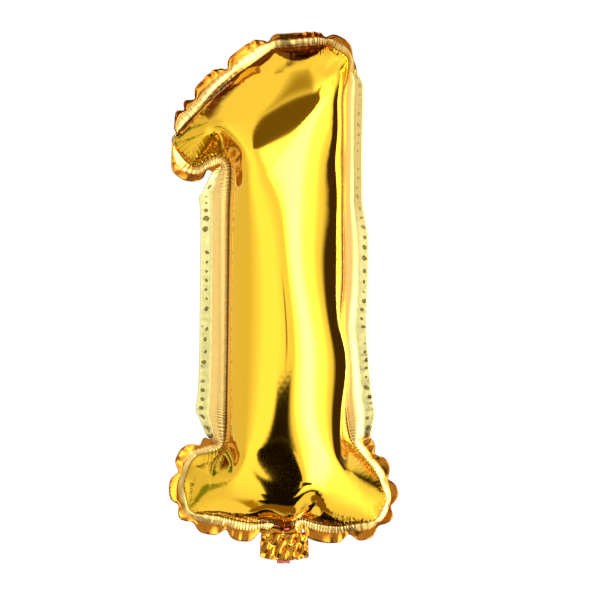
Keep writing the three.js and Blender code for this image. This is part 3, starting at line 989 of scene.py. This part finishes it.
# Each card's name, azimuth from the camera to the right and elevation in degrees, color, strength,
# how soft its edges are, and its distance as a share of ROOM: a nearer card hides those behind it.
CARDS = [
    ("left_fill", (-176, -52), (-60, 62), (1, 0.97, 0.9), 0.8, 0.2, 1),
    ("left_near", (-60, 10), (-70, 64), (1, 0.99, 0.92), 1.45, 0.4, 0.98),
    ("softbox_wide", (3, 84), (-70, 68), (1, 1, 1), 2.6, 0.45, 0.96),
    ("softbox_core", (8, 52), (-60, 60), (1, 1, 1), 9.5, 0.5, 0.94),
    ("right_flag", (82, 134), (-70, 30), (1, 0.6, 0.3), 0.05, 0.22, 0.92),
    ("behind_above", (-215, -86), (40, 64), (0.8, 0.1, 0.02), 0.12, 0.2, 0.91),
    ("behind_low", (-215, -130), (8, 42), (0.8, 0.12, 0.03), 0.12, 0.2, 0.905),
    ("plant", (-130, -86), (19, 39), (0.25, 0.45, 0.04), 0.35, 0.3, 0.9),
    ("garden", (-92, -58), (-32, -7), (0.42, 0.55, 0.08), 0.55, 0.35, 0.895),
    ("camera_line", (-3.4, 0), (-9, 6), (0.5, 0.3, 0.1), 0.3, 0.4, 0.89),
    ("stand_neck", (-13, 8), (-18, -7.5), WOOD, 0.03, 0.24, 0.885),
    ("stand_shoulder", (-12, 4), (-35, -15), WOOD, 0.02, 0.08, 0.88),
    ("stand_body", (-17, 2), (-48, -31), WOOD, 0.02, 0.08, 0.875),
    ("stand_base", (-22, 9), (-62, -45), WOOD, 0.02, 0.08, 0.87),
    ("floor_under", (-34, 40), (-84, -58), WOOD, 0.02, 0.08, 0.865),
    ("floor_behind", (-40, 34), (-135, -80), WOOD, 0.02, 0.1, 0.86),
    ("floor_dim", (-66, -30), (-82, -52), (0.8, 0.55, 0.1), 0.5, 0.3, 0.857),
    ("floor_shadow", (-180, 180), (-89.9, -72), (0.9, 0.5, 0.12), 0.25, 0.2, 0.855),
    ("table_edge", (3, 24), (-45, -35.5), WOOD, 0.03, 0.1, 0.85),
    ("far_left_edge", (-190, -152), (-40, 40), (0.6, 0.36, 0.1), 0.2, 0.2, 0.845),
    ("ceiling_dim", (-8, 14), (50, 62), (0.9, 0.75, 0.35), 0.45, 0.4, 0.842),
    ("ceiling_red", (-30, 40), (63.5, 78), (0.6, 0.09, 0.02), 0.14, 0.3, 0.841),
    ("ceiling_panel", (-5, 22), (35, 52), (0.62, 0.42, 0.12), 0.26, 0.12, 0.84),
    ("top_dark", (-180, 180), (76, 89.9), (0.6, 0.15, 0.05), 0.12, 0.1, 0.82),
]


def card(name, azimuth, elevation, color, strength, soften, distance):
    """A bright or dark patch of the room: part of a sphere round the part, with soft edges."""
    columns = rows = CARD_CELLS
    radius = ROOM * distance
    points, faces, corners = [], [], []
    for r in range(rows + 1):
        up = math.radians(elevation[0] + (elevation[1] - elevation[0]) * r / rows)
        for c in range(columns + 1):
            turn = math.radians(azimuth[0] + (azimuth[1] - azimuth[0]) * c / columns)
            points.append((radius * math.cos(up) * math.sin(turn),
                           -radius * math.cos(up) * math.cos(turn), radius * math.sin(up)))
            corners.append((c / columns, r / rows))
    for r in range(rows):
        for c in range(columns):
            k = r * (columns + 1) + c
            faces.append((k, k + 1, k + columns + 2, k + columns + 1))
    mesh = new_mesh(name, points, faces)
    layer = mesh.uv_layers.new(name="card")
    for loop in mesh.loops:
        layer.data[loop.index].uv = corners[loop.vertex_index]
    mesh.materials.append(card_material(name, color, strength, soften))
    patch = placed(name, mesh)
    patch.visible_camera = False
    patch.visible_shadow = False


def emissive(graph, surface):
    """Makes that surface the material's own, in place of the standard shader."""
    graph.tree.links.new(surface, graph.tree.nodes["Material Output"].inputs["Surface"])
    graph.tree.nodes.remove(graph.shader)
    return graph.material


def card_material(name, color, strength, soften):
    graph = Graph(name)
    across, up = graph.uv("card")
    edges = [graph.math("MINIMUM", value, graph.math("SUBTRACT", 1.0, value)) for value in (across, up)]
    edge = graph.math("DIVIDE", graph.math("MINIMUM", *edges), soften)
    smooth = graph.add("ShaderNodeMapRange", {"interpolation_type": "SMOOTHSTEP"}, Value=edge)
    glow = graph.add("ShaderNodeEmission", None, Color=color, Strength=strength)
    clear = graph.add("ShaderNodeBsdfTransparent")
    mixed = graph.add("ShaderNodeMixShader", None, i0=smooth.outputs[0], i1=clear.outputs[0],
                      i2=glow.outputs[0])
    return emissive(graph, mixed.outputs[0])


def pale_floor():
    """A plain white floor, out of the foil's sight so that it mirrors the cards."""
    corners = [(x * FLOOR_SPAN, y * FLOOR_SPAN, FLOOR_Z) for x, y in ((-1, -1), (1, -1), (1, 1), (-1, 1))]
    mesh = new_mesh("floor", corners, [(0, 1, 2, 3)])
    graph = Graph("floor")
    glow = graph.add("ShaderNodeEmission", None, Color=(1, 1, 1), Strength=1.0)
    mesh.materials.append(emissive(graph, glow.outputs[0]))
    floor = placed("floor", mesh)
    floor.visible_glossy = False
    floor.visible_transmission = False


def room():
    """White studio with the soft boxes, flags and furniture that the gold foil shows."""
    world = bpy.data.worlds.new("studio")
    world.use_nodes = True
    world.node_tree.nodes["Background"].inputs["Color"].default_value = (1, 1, 1, 1)
    world.node_tree.nodes["Background"].inputs["Strength"].default_value = 1.0
    bpy.context.scene.world = world
    pale_floor()
    for row in CARDS:
        card(*row)


# ----- camera -----
CAMERA_POINT = Vector((14.25, 0, -2.9)) * MM  # in the middle of the frame
CAMERA_DISTANCE = 2.4
FRAME_WIDTH = 0.432


def add_camera():
    data = bpy.data.cameras.new("camera")
    data.sensor_width = 36.0
    data.lens = data.sensor_width * CAMERA_DISTANCE / FRAME_WIDTH
    data.clip_end = 20.0
    camera = placed("camera", data)
    camera.location = CAMERA_POINT - Vector((0, CAMERA_DISTANCE, 0))
    camera.rotation_euler = (math.pi / 2, 0, 0)
    bpy.context.scene.camera = camera


def main():
    bpy.context.scene.view_settings.view_transform = "Standard"
    add_camera()
    pattern = flat_pattern()
    sheets = sheet_mesh(pattern)
    settled = inflate(sheets)
    shaped, zones = spread_flange(
        drawn_straight(relaxed(nudged(settled), sheets), sheets), sheets, pattern)
    shaped = crumpled(shaped, sheets)
    fields = seam_fields(sheets, pattern, zones)
    looks = {"weld": weld_foil(), "film": clear_film("valve film", FILM_PINK),
             "print": red_print()}
    looks["body"] = [face_foil(), looks["weld"], margin_foil()]
    looks["tail"] = [tail_foil()]
    foil = foil_pieces(shaped, sheets, pattern, fields, looks)
    bond = bond_piece(shaped, sheets, pattern, fields, looks)
    valve = valve_pieces(shaped, sheets, looks)
    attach(foil["front_foil"], "balloon")
    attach(foil["back_foil"], "balloon")
    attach(bond, "balloon")
    for piece in (foil["tail_front_foil"], foil["tail_back_foil"], *valve.values()):
        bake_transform(piece)
    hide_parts("front_panel")
    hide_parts("back_panel")
    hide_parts("perimeter_seal")
    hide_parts("tail_front_leaf", "tail_left_seal")
    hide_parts("tail_back_leaf", "tail_right_seal")
    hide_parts("valve_front_film", "mouth_front_film")
    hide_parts("valve_back_film", "mouth_back_film")
    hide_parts("valve_release_print")
    room()


main()
